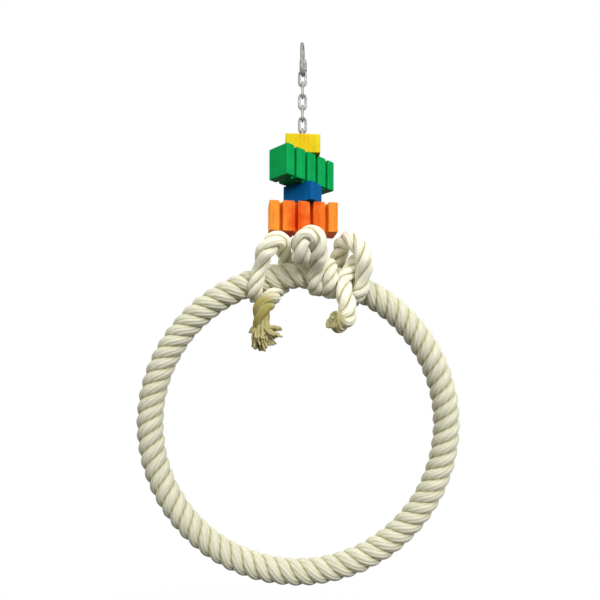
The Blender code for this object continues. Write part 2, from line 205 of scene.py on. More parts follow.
class SwingSteel(bpy.types.PropertyGroup):
    """Finish of the chain, ring and quick link."""

    plate_colour: colour_setting("Plating", "Colour of the chain's zinc plating", (0.345, 0.345, 0.315))
    link_colour: colour_setting("Quick link", "Colour of the quick link's plating", (0.27, 0.27, 0.245))
    nut_colour: colour_setting("Nut", "Colour of the sleeve nut's plating", (0.25, 0.25, 0.24))
    roughness: number_setting("Roughness", "Roughness of the plating", 0.56, subtype="FACTOR")


class SwingStage(bpy.types.PropertyGroup):
    """Camera and light."""

    distance: length_setting("Camera distance", "Distance of the camera in front of the hoop", 0.500)
    height: length_setting("Camera height", "Height of the camera from the hang point", -0.3102)
    across: length_setting("Camera offset", "Offset of the camera to the right", -0.0023)
    tilt: number_setting("Tilt", "Upward tilt of the camera", math.radians(0.18), subtype="ANGLE")
    lens: number_setting("Lens", "Focal length in millimetres", 31.69, unit="CAMERA")
    shift: number_setting("Shift", "Upward shift of the view", 0.12)
    key: power_setting("Key light", "Power of the key light", 10.9)
    fill: power_setting("Fill light", "Power of the fill light", 2.3)
    back: power_setting("Back light", "Power of the light behind", 9.0)
    room: number_setting("Room light", "Strength of the light from all round", 0.66)
    room_colour: colour_setting("Room colour", "Colour of the light from all round", (1.0, 0.97, 0.82))
    floor: length_setting("Floor", "Height of the floor from the hang point", -0.80)


# Grids and meshes

def grid_faces(rows, columns, wrap_rows=False):
    """Four-sided faces of a grid whose columns close on themselves, and its rows too if asked."""
    row = np.arange(rows if wrap_rows else rows - 1)[:, None]
    column = np.arange(columns)[None, :]
    below = (row + 1) % rows
    beside = (column + 1) % columns
    corners = (row * columns + column, row * columns + beside,
               below * columns + beside, below * columns + column)
    return np.stack(corners, axis=-1).reshape(-1, 4)


def zip_faces(first, columns):
    """Four-sided faces that close a ring of points by joining each to its mirror image."""
    step = np.arange(columns // 2 - 1)
    return first + np.stack((step, step + 1, columns - 2 - step, columns - 1 - step), axis=-1)


def outward(points, faces):
    """Faces in the order that gives the closed surface a positive volume, by its divergence."""
    a, b, c, d = (points[faces[:, corner]] for corner in range(4))
    volume = np.einsum("ij,ij->", a, np.cross(b, c)) + np.einsum("ij,ij->", a, np.cross(c, d))
    return faces if volume > 0 else faces[:, ::-1]


def tube_faces(points, closed):
    """Faces of a grid of points as a closed tube or as a tube with zipped ends, facing outwards."""
    rows, columns = points.shape[:2]
    faces = grid_faces(rows, columns, closed)
    if not closed:
        last = (rows - 1) * columns
        faces = np.vstack((faces, zip_faces(0, columns)[:, ::-1], zip_faces(last, columns)))
    return outward(points.reshape(-1, 3), faces)


def dome_both(points, first, last, steps):
    """Close both ends of a tube with rows, each a share of the end row's size and a distance on."""
    def dome(row, direction):
        """Rows middle + share * (row - middle) + on * direction."""
        middle = row.mean(axis=0)
        return [middle + (row - middle) * share + direction * on for share, on in steps]
    return np.concatenate((dome(points[0], -first)[::-1], points, dome(points[-1], last)))


def add_object(name, data):
    """Put an object in the scene, at the origin."""
    added = bpy.data.objects.new(name, data)
    bpy.context.scene.collection.objects.link(added)
    return added


def add_mesh(name, points, faces, finish):
    """Put an object in the scene with a mesh of points and faces."""
    mesh = bpy.data.meshes.new(name)
    mesh.from_pydata(points.reshape(-1, 3), [], faces)
    mesh.materials.append(finish)
    return add_object(name, mesh)


def add_piece(name, points, faces, finish, body, slot, nodes=(), layers=None):
    """Add a smooth piece with its mesh layers and hang it on its CAD body."""
    piece = add_mesh(name, points, faces, finish)
    mesh = piece.data
    for title, values in (layers or {}).items():
        kind, field = ("FLOAT_VECTOR", "vector") if values.ndim == 2 else ("FLOAT", "value")
        mesh.attributes.new(title, kind, "POINT").data.foreach_set(field, values.ravel())
    mesh.polygons.foreach_set("use_smooth", np.ones(len(mesh.polygons), dtype=bool))
    mesh.update()
    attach(piece, body)
    if nodes:
        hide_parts(*nodes)
    return piece


# Lines and their frames

# Fixed vector that no part of the tying rope runs along, and steps of a curve between two given points
FRAME_LEAN = (0.41, 0.27, 0.87)
CURVE_STEPS = 40


def full_turn(count):
    """Even angles round a circle."""
    return np.linspace(0, math.tau, count, endpoint=False)


def dots(first, second):
    """Products a . b of two lists of vectors, as a column."""
    return np.einsum("ij,ij->i", first, second)[:, None]


def direction_at(angle, side, up):
    """Directions cos(angle) * side + sin(angle) * up."""
    return np.cos(angle) * side + np.sin(angle) * up


def cylinder(radius, angle, height):
    """Points at radius cos(angle), radius sin(angle) and a height."""
    return np.stack(np.broadcast_arrays(radius * np.cos(angle), radius * np.sin(angle), height), axis=-1)


def bell(distance, reach):
    """Bell curve exp(-(distance / reach)^2)."""
    return np.exp(-(distance / reach) ** 2)


def turned(points, angle):
    """Points turned about Z."""
    c, s = math.cos(angle), math.sin(angle)
    return points @ np.array(((c, s, 0), (-s, c, 0), (0, 0, 1)))


def travelled(line):
    """Distance along a line at each of its points."""
    return np.concatenate(([0.0], np.cumsum(np.linalg.norm(np.diff(line, axis=0), axis=1))))


def unit(vectors):
    """Vectors divided by their lengths."""
    return vectors / np.linalg.norm(vectors, axis=-1, keepdims=True)


def line_direction(line, closed=False):
    """Unit direction of a line at each point, from the points before and after it."""
    if closed:
        return unit(np.roll(line, -1, axis=0) - np.roll(line, 1, axis=0))
    return unit(np.gradient(line, axis=0))


def carried_frame(line):
    """Side and up directions along a line that turn no more than the line does.

    A first frame leans on one fixed vector. Its turn against the frame before it, carried round the
    smallest rotation between their two directions, is summed along the line and taken out again.
    """
    along = line_direction(line)
    lean = unit(np.array(FRAME_LEAN))
    side = unit(lean - along * (along @ lean)[:, None])
    up = np.cross(along, side)
    axis = np.cross(along[:-1], along[1:])
    cosine = dots(along[:-1], along[1:])
    carried = side[:-1] * cosine + np.cross(axis, side[:-1])
    carried = carried + axis * (dots(axis, side[:-1]) / (1 + cosine))
    step = np.arctan2(dots(carried, up[1:]), dots(carried, side[1:]))
    turn = np.concatenate(([[0.0]], np.cumsum(step, axis=0)))
    level = direction_at(turn, side, up)
    return level, np.cross(along, level)


def wire_points(line, plane, radius, sides, closed):
    """Round wire along a flat line: line + radius * (cos(a) * side + sin(a) * plane)."""
    along = line_direction(line, closed)
    side = np.cross(np.broadcast_to(plane, along.shape), along)
    angle = full_turn(sides)[None, :, None]
    reach = np.broadcast_to(radius.reshape(len(line), -1), (len(line), sides))[..., None]
    return line[:, None, :] + reach * direction_at(angle, side[:, None, :], np.asarray(plane))


def half_turn(middle, radius, start, steps):
    """Points of half a circle about (0, middle), from a start angle on."""
    angle = start + np.linspace(0, math.pi, steps)
    return np.column_stack((radius * np.cos(angle), middle + radius * np.sin(angle)))


def spread_line(points, spacing, closed=False):
    """Even points along straight runs between given points."""
    given = np.vstack((points, points[:1])) if closed else points
    travel = travelled(given)
    marks = np.linspace(0, travel[-1], round(travel[-1] / spacing), endpoint=not closed)
    return np.column_stack([np.interp(marks, travel, values) for values in given.T])


def hoop_place(along, around, out):
    """Points by the hoop: (radius + out cos(around)) outwards, and out sin(around) to the front."""
    turn = np.radians(along)
    lean = np.radians(around)
    reach = HOOP_RADIUS + out * np.cos(lean)
    front = -out * np.sin(lean)
    return HOOP_CENTRE + np.column_stack((reach * np.sin(turn), front, reach * np.cos(turn)))


def route_points(route, start):
    """Points of one leg of the tying rope."""
    points = [np.array([start])]
    for kind, values in route:
        if kind == "free":
            points.append(np.array(values) * MM + (0, 0, HOOP_TOP))
            continue
        along_start, along_end, around_start, around_end, slack = values
        steps = round(abs(around_end - around_start) / TURN_STEP) + 1
        along = np.linspace(along_start, along_end, steps)
        around = np.linspace(around_start, around_end, steps)
        stand_off = slack * MM * np.clip(np.cos(np.radians(around + SLACK_SIDE)), 0, None)
        points.append(hoop_place(along, around, WRAP_RADIUS + stand_off))
    return np.vstack(points)


def smooth_route(given, spacing):
    """Read a smooth curve through points at an even spacing.

    Each stretch is a cubic between two points. Its slopes come from the neighbouring points, with the
    square roots of the distances as the curve's own measure, so that it doesn't overshoot.
    """
    ends = np.vstack((2 * given[0] - given[1], given, 2 * given[-1] - given[-2]))
    root = np.sqrt(np.linalg.norm(np.diff(ends, axis=0), axis=1))[:, None]
    chord = np.diff(ends, axis=0) / root
    wide = (ends[2:] - ends[:-2]) / (root[:-1] + root[1:])
    slope = (chord[:-1] - wide + chord[1:])[:, None, :]
    span = root[1:-1, :, None]
    t = np.linspace(0, 1, CURVE_STEPS, endpoint=False)[None, :, None]
    fine = ((2 * t**3 - 3 * t**2 + 1) * given[:-1, None, :] + (t**3 - 2 * t**2 + t) * span * slope[:-1]
            + (3 * t**2 - 2 * t**3) * given[1:, None, :] + (t**3 - t**2) * span * slope[1:])
    return spread_line(np.vstack((fine.reshape(-1, 3), given[-1:])), spacing)


# Laid rope

STRANDS = 3
STRAND_FILL = 0.985
YARN_TWIST = 0.75
HOOP_STRAND_ROUND = 0.74
TIE_STRAND_ROUND = 0.62

# Fullness of the tying rope's cotton as a share of its size, in the turns and more in the loose loops
TIE_FULLNESS = 1.22
LOOSE_FULLNESS = 0.19

# Turns of the tying rope press on the hoop: how far a line may stand off and still be pressed, the
# depth that it is pressed to from the hoop's centreline, and the thickness that is left
PRESS_REACH = 0.0100
PRESS_DEPTH = 0.0090
PRESSED_SHARE = 0.56

# Frayed end: its length, and each tuft's tip in millimetres from where the rope opens
FRAY_LENGTH = 0.024
FRAY_TIPS = ((19, -2, -5), (16, -5, -13), (5, -3, -23), (0, 2, -24), (-6, -1, -23), (-8, 2, -10),
             (1, -9, -18), (5, 8, -17), (10, 0, -19))


def strand_grid(line, side, up, lead, twist, inner, outer, yarns, columns, depth, bulge):
    """One strand of a laid rope, pressed into a third of the rope's round.

    At t round the strand, its outside is a circle, bulge times as big as the rope's round, that touches
    the rope's outside and is cut off in the valley a sixth of a turn to either side. Its inside is
    middle + half * cos(t) from the rope's axis and a sixth of a turn times sin(t) round it. t turns
    along the strand by the twist, so each column of the grid follows one furrow or ridge of the yarns,
    which are half circles.
    """
    share = full_turn(columns)
    place = (share * yarns / math.tau) % 1.0
    ridge = np.sqrt(1 - (2 * place - 1) ** 2)
    furrow = depth * (1 - ridge)
    t = share[None, :] + twist[:, None]
    outer = outer[:, None]
    limit = math.pi / STRANDS * STRAND_FILL
    inside_away = (outer + inner) / 2 + (outer - inner) / 2 * np.cos(t)
    inside_angle = limit * np.sin(t)
    x = outer * (1 - bulge + bulge * np.cos(t) * (1 - furrow))
    y = outer * bulge * np.sin(t) * (1 - furrow)
    outside_start, outside_range = -0.45, 0.3
    outside = np.clip((np.cos(t) - outside_start) / outside_range, 0, 1)
    away = inside_away + outside * (np.hypot(x, y) - inside_away)
    outside_angle = np.clip(np.arctan2(y, x), -limit, limit)
    angle = (lead[:, None] + inside_angle + outside * (outside_angle - inside_angle))[..., None]
    points = line[:, None, :] + away[..., None] * direction_at(angle, side[:, None, :], up[:, None, :])
    # Where the circle meets the edge of the strand's third, as a share of the rope's round
    valley = (1 - bulge) / 2 + math.sqrt(bulge**2 - 0.75 * (1 - bulge) ** 2)
    # Painted shade between the strands: 0 where a strand stands out, rising to 1 deep in its valley
    sunk = (1 - away / outer) / (1 - valley)
    shade_start, shade_range, shade_power = 0.42, 0.73, 1.3
    crevice = np.clip((sunk - shade_start) / shade_range, 0, 1) ** shade_power
    return points, share, crevice


def fibre_layer(run, radius, angle):
    """Place in the straightened yarn: run along it, radius cos(angle) and radius sin(angle) across."""
    return cylinder(radius, angle, run)[..., (2, 0, 1)].reshape(-1, 3)


def strand_layers(run, share, crevice, radius, yarns, seed):
    """Layers for the cotton: place in the yarn, painted shade between strands and each yarn's tint."""
    tints = np.random.default_rng(seed).random(yarns)
    tint = tints[(share * yarns / math.tau).astype(int) % yarns]
    return {"fibre": fibre_layer(run[:, None], radius, share), "crevice": crevice.ravel(),
            "tint": np.tile(tint, len(run))}


def uneven(run, period, seed):
    """Gentle unevenness along a line, as three sine waves that close over the period."""
    phases = np.random.default_rng(seed).random(3) * math.tau
    waves = np.array((5.0, 11.0, 23.0))
    return np.sin(run[:, None] / period * math.tau * waves + phases).mean(axis=1)


def make_hoop_strand(number, rope):
    """One strand of the hoop's rope, closed on itself after a whole number of turns."""
    rows, yarn_columns, first_seed = 1380, 6, 10
    start, unevenness, fibre_stretch = math.radians(8), 0.012, 1.5
    turn = full_turn(rows) + start
    run = turn * HOOP_RADIUS
    outwards = np.column_stack((np.sin(turn), 0 * turn, np.cos(turn)))
    front = np.broadcast_to((0.0, -1.0, 0.0), outwards.shape)
    lead = rope.hoop_turns * turn + math.tau * number / STRANDS
    twist = -round(YARN_TWIST * rope.hoop_turns) * turn
    outer = HOOP_ROPE / 2 * (1 + unevenness * uneven(run, math.tau * HOOP_RADIUS, number))
    points, share, crevice = strand_grid(
        HOOP_CENTRE + HOOP_RADIUS * outwards, outwards, front, lead, twist, HOOP_TUNNEL / 2, outer,
        rope.hoop_yarns, rope.hoop_yarns * yarn_columns, rope.yarn_depth, HOOP_STRAND_ROUND)
    layers = strand_layers(run * fibre_stretch, share, crevice, HOOP_ROPE / 4, rope.hoop_yarns,
                           first_seed + number)
    return points, tube_faces(points, True), layers


def beside_hoop(places):
    """Offset of each place from the hoop's centreline."""
    flat = (places - HOOP_CENTRE) * (1, 0, 1)
    return places - HOOP_CENTRE - HOOP_RADIUS * unit(flat)


def pressed_share(line):
    """How much each part of a line is pressed on the hoop: n^2 (3 - 2 n), as n goes over the reach."""
    stand_off = np.linalg.norm(beside_hoop(line), axis=-1) - WRAP_RADIUS
    near = np.clip(1 - stand_off / PRESS_REACH, 0, 1)
    return near**2 * (3 - 2 * near)


def press_on_hoop(points, pressed):
    """Flatten the rope: a distance d from the hoop's centreline becomes depth + share * (d - depth)."""
    offset = beside_hoop(points)
    away = np.linalg.norm(offset, axis=-1, keepdims=True)
    flat = PRESS_DEPTH + PRESSED_SHARE * (away - PRESS_DEPTH)
    return points + pressed[:, None, None] * offset * (flat / away - 1)


def make_tie_leg(line, side, up, run, rope, seed, tail, soil):
    """The three strands of one leg of the tying rope, each closed at both ends.

    tail is the rope's size along the leg as a share of its full size, the last its dirt and painted
    shade.
    """
    yarn_columns, deeper, tunnel, tint_seed = 5, 2.4, 0.0004, 20
    unevenness, period = 0.03, 0.5
    dome = ((0.9, 0.0004), (0.6, 0.0002), (0.2, -0.0006))
    added = len(dome)
    columns = rope.tie_yarns * yarn_columns
    columns += columns % 2
    along = line_direction(line)
    pressed = pressed_share(line)
    full = TIE_ROPE / 2 * TIE_FULLNESS * (1 + LOOSE_FULLNESS * (1 - pressed)) * tail
    soil = np.repeat(np.pad(soil, added, mode="edge"), columns)
    strands = []
    for number in range(STRANDS):
        lead = math.tau * (run / rope.tie_lay + number / STRANDS)
        twist = -YARN_TWIST * math.tau * run / rope.tie_lay
        outer = full * (1 + unevenness * uneven(run, period, seed + number))
        points, share, crevice = strand_grid(line, side, up, lead, twist, tunnel / 2, outer,
                                             rope.tie_yarns, columns, rope.yarn_depth * deeper,
                                             TIE_STRAND_ROUND)
        points = dome_both(press_on_hoop(points, pressed), along[0], along[-1], dome)
        # The painted shade between the strands runs on over the domed ends
        crevice = np.pad(crevice, ((added, added), (0, 0)), mode="edge")
        layers = strand_layers(np.pad(run, added, mode="edge"), share, crevice, TIE_ROPE / 4,
                               rope.tie_yarns, seed + tint_seed + number)
        faces = tube_faces(points, False) + number * points.shape[0] * columns
        strands.append({"points": points.reshape(-1, 3), "faces": faces, "soil": soil, **layers})
    joined = {title: np.concatenate([strand[title] for strand in strands]) for title in strands[0]}
    return joined.pop("points"), joined.pop("faces"), joined


def cut_end(travel):
    """Size, dirt and painted shade by the distance from the cut end, where the rope spreads a little."""
    spread, spread_reach, soil, dirt_and_shade_reach = 0.07, 0.006, 0.85, 0.012
    return 1.0 + spread * bell(travel, spread_reach), soil * bell(travel, dirt_and_shade_reach)


def frayed_tail(lengths):
    """Size, dirt and painted shade by the distance from the frayed end, in lengths of the fray."""
    narrowing, narrow_start, soil, dirt_and_shade_fall = 0.30, 1.5, 3.7, 1.6
    narrow = np.clip(narrow_start - lengths, 0, 1)
    return 1.0 - narrowing * narrow, np.clip(soil - dirt_and_shade_fall * lengths, 0, 1)


def make_fray(root, along):
    """Loose yarns at the frayed end, each a tapering round thread that bends over to its tuft's tip.

    Its line is (1 - t)^2 start + 2 t (1 - t) middle + t^2 tip, with a small wave. It starts inside the
    rope, drawn towards its tip, and ends at a ragged share of the way to the tip.
    """
    yarns, thickness, taper, steps, sides = 14, 0.0030, 0.35, 12, 6
    inside, spread, drawn, straight = 0.006, 0.34, (0.14, 0.14, 0.0), 0.55
    shortest, ragged, kept_spread, scattered = 0.70, 0.38, 0.55, 0.0014
    wave, waves, phases = 0.0007, 10, np.array((0.0, 2.1, 4.2))
    # Loose yarns further out get less of the dirt and painted shade
    fibre_length, fibre_radius, less_dirt_and_shade_outside = 0.03, 0.001, 0.25
    lean = np.array((0.3, 0.9, 0.2))
    draw = np.random.default_rng(5)
    tips = np.repeat(np.array(FRAY_TIPS) * MM, yarns, axis=0)
    count = len(tips)
    spin = draw.random(count) * math.tau
    out = np.sqrt(draw.random(count))
    across = np.column_stack((np.cos(spin), np.sin(spin), 0 * spin)) * (out * TIE_ROPE * spread)[:, None]
    start = root - along * inside + across + tips * drawn
    middle = start + along * np.linalg.norm(tips, axis=1)[:, None] * straight
    scatter = draw.normal(size=(count, 3)) * scattered
    tip = root + tips * (shortest + ragged * draw.random((count, 1))) + across * kept_spread + scatter
    t = np.linspace(0, 1, steps)[None, :, None]
    line = (1 - t) ** 2 * start[:, None] + 2 * t * (1 - t) * middle[:, None] + t**2 * tip[:, None]
    line = line + wave * t * np.sin(t * waves + spin[:, None, None] + phases)
    direction = unit(np.gradient(line, axis=1))
    side = unit(np.cross(direction, lean))
    up = np.cross(direction, side)
    angle = full_turn(sides)[:, None]
    thick = (thickness / 2 * (1 - taper * t**3))[..., None]
    points = line[:, :, None] + thick * direction_at(angle, side[:, :, None], up[:, :, None])
    first = np.arange(count)[:, None, None] * steps * sides
    faces = (tube_faces(points[0], False)[None] + first).reshape(-1, 4)
    run = np.broadcast_to(t * fibre_length, (count, steps, sides))
    layers = {"fibre": fibre_layer(run, fibre_radius, angle[:, 0]),
              "soil": np.repeat(1.0 - less_dirt_and_shade_outside * out, steps * sides),
              "tint": np.repeat(draw.random(count), steps * sides)}
    return points, faces, layers


# Steel

THREAD_PITCH = 0.0006


def oval(upper, lower, radius, steps):
    """Both bends of an oval, about (0, upper) and (0, lower)."""
    return np.vstack((half_turn(upper, radius, 0, steps), half_turn(lower, radius, math.pi, steps)))


def thread(run, angle):
    """Screw thread as a wave from 0 to 1 that climbs one pitch in a turn."""
    return 0.5 - 0.5 * np.cos(math.tau * run[:, None] / THREAD_PITCH - angle)


def make_chain_link(number):
    """One oval link with a weld bead on its straight side, in the plane of its CAD node."""
    spacing, sides, bend_steps = 0.0004, 20, 19
    bead, bead_reach = 0.10, 0.0009
    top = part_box(f"chain_link_{number:02d}")[1][2] - CHAIN_WIRE / 2
    bend_radius = (CHAIN_INNER_WIDTH + CHAIN_WIRE) / 2
    reach = CHAIN_INNER_LENGTH + CHAIN_WIRE
    flat = oval(-bend_radius, bend_radius - reach, bend_radius, bend_steps)
    flat = spread_line(flat, spacing, closed=True)
    across = 0 if number % 2 else 1
    line = np.zeros((len(flat), 3))
    line[:, across] = flat[:, 0]
    line[:, 2] = flat[:, 1] + top
    weld = np.hypot(flat[:, 0] + bend_radius, flat[:, 1] + reach / 2)
    radius = CHAIN_WIRE / 2 * (1 + bead * bell(weld, bead_reach))
    points = wire_points(line, np.eye(3)[1 - across], radius, sides, True)
    return points, tube_faces(points, True)


def make_tie_ring():
    """Round steel ring in the plane of the hoop, with a weld bead on one side."""
    steps, sides = 120, 24
    bead, bead_place, bead_reach = 0.06, 2.0, 0.09
    low, high = (np.array(corner) for corner in TIE_RING_BOX)
    radius = (high[2] - low[2] - TIE_RING_WIRE) / 2
    turn = full_turn(steps)
    line = (low + high) / 2 + radius * np.column_stack((np.sin(turn), 0 * turn, np.cos(turn)))
    wire = TIE_RING_WIRE / 2 * (1 + bead * bell(turn - bead_place, bead_reach))
    points = wire_points(line, (0.0, 1.0, 0.0), wire, sides, True)
    return points, tube_faces(points, True)


def make_quick_link():
    """Oval hook of round wire, open at its gate, with screw threads on both ends of the wire."""
    spacing, sides, bend_steps = 0.00012, 20, 25
    thread_long, thread_short, thread_depth = 0.0105, 0.0012, 0.09
    dome = ((0.85, 0.0002), (0.5, 0.0003))
    lower = -(LINK_INNER_HEIGHT - LINK_INNER_WIDTH / 2)
    bends = oval(-LINK_INNER_WIDTH / 2, lower, LINK_LEG, bend_steps)
    flat = np.vstack(((LINK_LEG, GATE_BOTTOM + GATE_GAP), bends, (LINK_LEG, GATE_BOTTOM)))
    flat = spread_line(flat, spacing)
    line = np.column_stack((np.zeros(len(flat)), flat))
    run = np.arange(len(flat)) * spacing
    threaded = (run < thread_long) | (run > run[-1] - thread_short)
    radius = LINK_WIRE / 2 * (1 - thread_depth * thread(run, full_turn(sides)) * threaded[:, None])
    points = wire_points(line, (1.0, 0.0, 0.0), radius, sides, False)
    along = line_direction(line)
    points = turned(dome_both(points, along[0], along[-1], dome), LINK_YAW)
    return points, tube_faces(points, False)


def make_nut():
    """Six-sided sleeve nut: flats / cos(angle), held inside a cone at each end, and a threaded bore."""
    sides, bore_rows, thread_depth = 72, 96, 0.00012
    cone, cone_slope = 0.0009, 0.9
    levels = np.array((0.0, 0.0003, 0.0007, 0.0011, 0.0016))
    angle = full_turn(sides)
    hexagon = NUT_ACROSS_FLATS / 2 / np.cos((angle + math.pi / 6) % (math.pi / 3) - math.pi / 6)
    corner = NUT_ACROSS_FLATS / math.sqrt(3)
    rise = np.concatenate((levels, NUT_LENGTH - levels[::-1]))
    near = np.minimum(rise, NUT_LENGTH - rise)
    limit = corner - np.clip(cone - near, 0, None) * cone_slope
    bore_rise = np.linspace(NUT_LENGTH, 0, bore_rows)
    bore = NUT_BORE / 2 + thread_depth * thread(bore_rise, angle)
    radius = np.vstack((np.minimum(hexagon[None, :], limit[:, None]), bore))
    height = np.concatenate((rise, bore_rise))[:, None] + NUT_BOTTOM
    points = turned(cylinder(radius, angle, height) + (0, LINK_LEG, 0), LINK_YAW)
    return points, tube_faces(points, True)


# Wood

def bend(centre, radius, start, end):
    """Points of an arc, with a mark of 1 on those between its ends."""
    angle = np.radians(np.linspace(start, end, EASE_STEPS))
    mark = np.sin(np.linspace(0, math.pi, EASE_STEPS)) ** 0.5
    x, y = centre[0] + radius * np.cos(angle), centre[1] + radius * np.sin(angle)
    return np.column_stack((x, y, mark))


def block_outline(length, width, grooves, corner, mouth, root):
    """Outline of a block from above, with eased corners and square grooves down both long sides."""
    x, y = length / 2, width / 2
    runs = [bend((x - corner, y - corner), corner, 0, 90)]
    for step in range(grooves):
        middle = ((grooves - 1) / 2 - step) * GROOVE_PITCH
        right, left = middle + GROOVE_WIDTH / 2, middle - GROOVE_WIDTH / 2
        floor = y - GROOVE_DEPTH
        runs.append(bend((right + mouth, y - mouth), mouth, 90, 180))
        runs.append(bend((right - root, floor + root), root, 0, -90) * (1, 1, 0))
        runs.append(bend((left + root, floor + root), root, -90, -180) * (1, 1, 0))
        runs.append(bend((left - mouth, y - mouth), mouth, 0, 90))
    runs.append(bend((corner - x, y - corner), corner, 90, 180))
    half = np.vstack(runs)
    return np.vstack((half, half * (-1, -1, 1)))


def inset(outline, distance):
    """Outline moved inwards: each point goes along the mean of its two edges' normals."""
    edge = unit(np.roll(outline, -1, axis=0) - outline)
    normal = np.column_stack((edge[:, 1], -edge[:, 0]))
    mean = unit(normal + np.roll(normal, 1, axis=0))
    return outline - mean * (distance / dots(mean, normal))


def make_block(length, width, turn, grooves, low, high, edge):
    """Drilled block: its outline carried up with quarter-round edges, and a bore with eased mouths.

    Its top and bottom are cut into triangles inside the outline, without those that lie in the bore.

    Returns points, faces, marks of the worn edges, and whether each face is shaded smooth.
    """
    sides, corner_ease, mouth_ease, floor_ease = 48, 1.6, 1.1, 0.8
    plan = block_outline(length, width, grooves, corner_ease * edge, mouth_ease * edge,
                         floor_ease * edge)
    outline, mark = plan[:, :2], plan[:, 2]
    count = len(outline)
    lean = np.radians(np.linspace(0, 90, EASE_STEPS))
    ease_in = edge * (1 - np.sin(lean))
    ease_up = edge * (1 - np.cos(lean))
    ease_mark = np.sin(2 * lean)
    insets = np.concatenate((ease_in, ease_in[::-1]))
    levels = np.concatenate((low + ease_up, high - ease_up[::-1]))
    marks = np.concatenate((ease_mark, ease_mark[::-1]))
    wall = np.vstack([np.column_stack((inset(outline, gap), np.full(count, level)))
                      for gap, level in zip(insets, levels)])
    wall_mark = np.maximum(marks[:, None], mark[None, :]).ravel()
    bore = cylinder((BLOCK_BORE / 2 + insets)[:, None], full_turn(sides), levels[:, None])
    points = np.vstack((wall, bore.reshape(-1, 3)))
    first = len(wall)
    walls = np.vstack((grid_faces(len(levels), count), grid_faces(len(levels), sides)[:, ::-1] + first))
    index = np.concatenate((np.arange(count), first + np.arange(sides)))
    after = np.concatenate((np.roll(np.arange(count), -1), count + np.roll(np.arange(sides), -1)))
    edges = np.column_stack((np.arange(count + sides), after)).tolist()
    rim = [Vector(point[:2]) for point in points[index]]
    inside_only, same_place = 1, 1e-7
    cut = delaunay_2d_cdt(rim, edges, [], inside_only, same_place)
    cap = np.array([given[0] for given in cut[3]])[np.array(cut[2])]
    cap = cap[(cap < count).any(axis=1)]
    lift = (len(levels) - 1) * np.repeat((count, sides), (count, sides))
    caps = np.vstack((index[cap[:, ::-1]], (index + lift)[cap]))
    smooth = np.arange(len(walls) + len(caps)) < len(walls)
    marks = np.concatenate((wall_mark, np.repeat(marks, sides)))
    return turned(points, turn), walls.tolist() + caps.tolist(), marks, smooth


# Finishes

# Colours and factors that are mixed with those of the settings, and how much rougher than the chain
# the core and the nut are
WARM_COTTON = (0.72, 0.64, 0.42)
DEEP_DYE = (0.55, 0.55, 0.55)
SOAKED_DYE = (0.62, 0.38, 0.40)
RUBBED_STEEL = (0.20, 0.20, 0.17)
CORE_ROUGHER, NUT_ROUGHER = 0.1, 0.06

# Places between which a block's colour changes towards its ends, in shares of its length from its middle
# On the orange block the darker middle colour is painted shadow of the blue block above it
DYE_AND_SHADE_CHANGE = np.array((0.16, 0.38))


def new_finish(name):
    """New material with its node tree and Principled shader."""
    finish = bpy.data.materials.new(name)
    finish.use_nodes = True
    tree = finish.node_tree
    return finish, tree, tree.nodes["Principled BSDF"]


def set_inputs(tree, node, values):
    """Set or link a node's inputs by name or number."""
    for socket, value in values.items():
        if isinstance(value, bpy.types.NodeSocket):
            tree.links.new(value, node.inputs[socket])
        else:
            node.inputs[socket].default_value = value


def add_node(tree, kind, values=None, **fields):
    """Add a shader node with its fields and inputs."""
    node = tree.nodes.new("ShaderNode" + kind)
    for field, value in fields.items():
        setattr(node, field, value)
    set_inputs(tree, node, values or {})
    return node


def coordinates(tree, output):
    """Coordinates of one kind."""
    return add_node(tree, "TexCoord").outputs[output]


def part_of(tree, vector, axis):
    """One part of a vector."""
    return add_node(tree, "SeparateXYZ", {0: vector}).outputs[axis]


def mapped(tree, place, scale, turn=0.0):
    """A place turned about Z, then scaled on each axis."""
    values = {"Vector": place, "Rotation": (0, 0, turn), "Scale": scale}
    return add_node(tree, "Mapping", values).outputs["Vector"]


def noise(tree, place, scale, detail=3.0, roughness=0.55, distortion=0.0):
    """Noise texture's value at a place, with one scale or with one for each axis."""
    if isinstance(scale, tuple):
        place, scale = mapped(tree, place, scale), 1.0
    values = {"Vector": place, "Scale": scale, "Detail": detail, "Roughness": roughness,
              "Distortion": distortion}
    return add_node(tree, "TexNoise", values).outputs["Fac"]


def ranged(tree, value, before, after):
    """A value carried from one range to another and held there."""
    values = dict(zip(("Value", "From Min", "From Max", "To Min", "To Max"), (value, *before, *after)))
    return add_node(tree, "MapRange", values).outputs["Result"]


def arithmetic(tree, operation, first, second=0.0):
    """Sum, product or the like of two values."""
    return add_node(tree, "Math", {0: first, 1: second}, operation=operation).outputs["Value"]


def mixed(tree, share, first, second, blend="MIX"):
    """Two colours, or a colour and a value, mixed by a share."""
    values = {0: share}
    for socket, value in ((6, first), (7, second)):
        values[socket] = value if isinstance(value, bpy.types.NodeSocket) else (*value, 1.0)
    return add_node(tree, "Mix", values, data_type="RGBA", blend_type=blend).outputs[2]


def times(tree, first, second):
    """Product of two colours, or of a colour and a value."""
    return mixed(tree, 1.0, first, second, "MULTIPLY")


def bumped(tree, height, strength, distance):
    """Normal of a surface raised by a height."""
    values = {"Height": height, "Strength": strength, "Distance": distance}
    return add_node(tree, "Bump", values).outputs["Normal"]


def layer(tree, name, output="Fac"):
    """A layer stored on the mesh."""
    return add_node(tree, "Attribute", attribute_name=name).outputs[output]


def seen_rays(tree, *kinds):
    """1 for light paths of these kinds, by which a thing is seen, and 0 for those that light others."""
    path = add_node(tree, "LightPath").outputs
    seen = 0.0
    for kind in kinds:
        seen = arithmetic(tree, "MAXIMUM", seen, path[f"Is {kind} Ray"])
    return seen


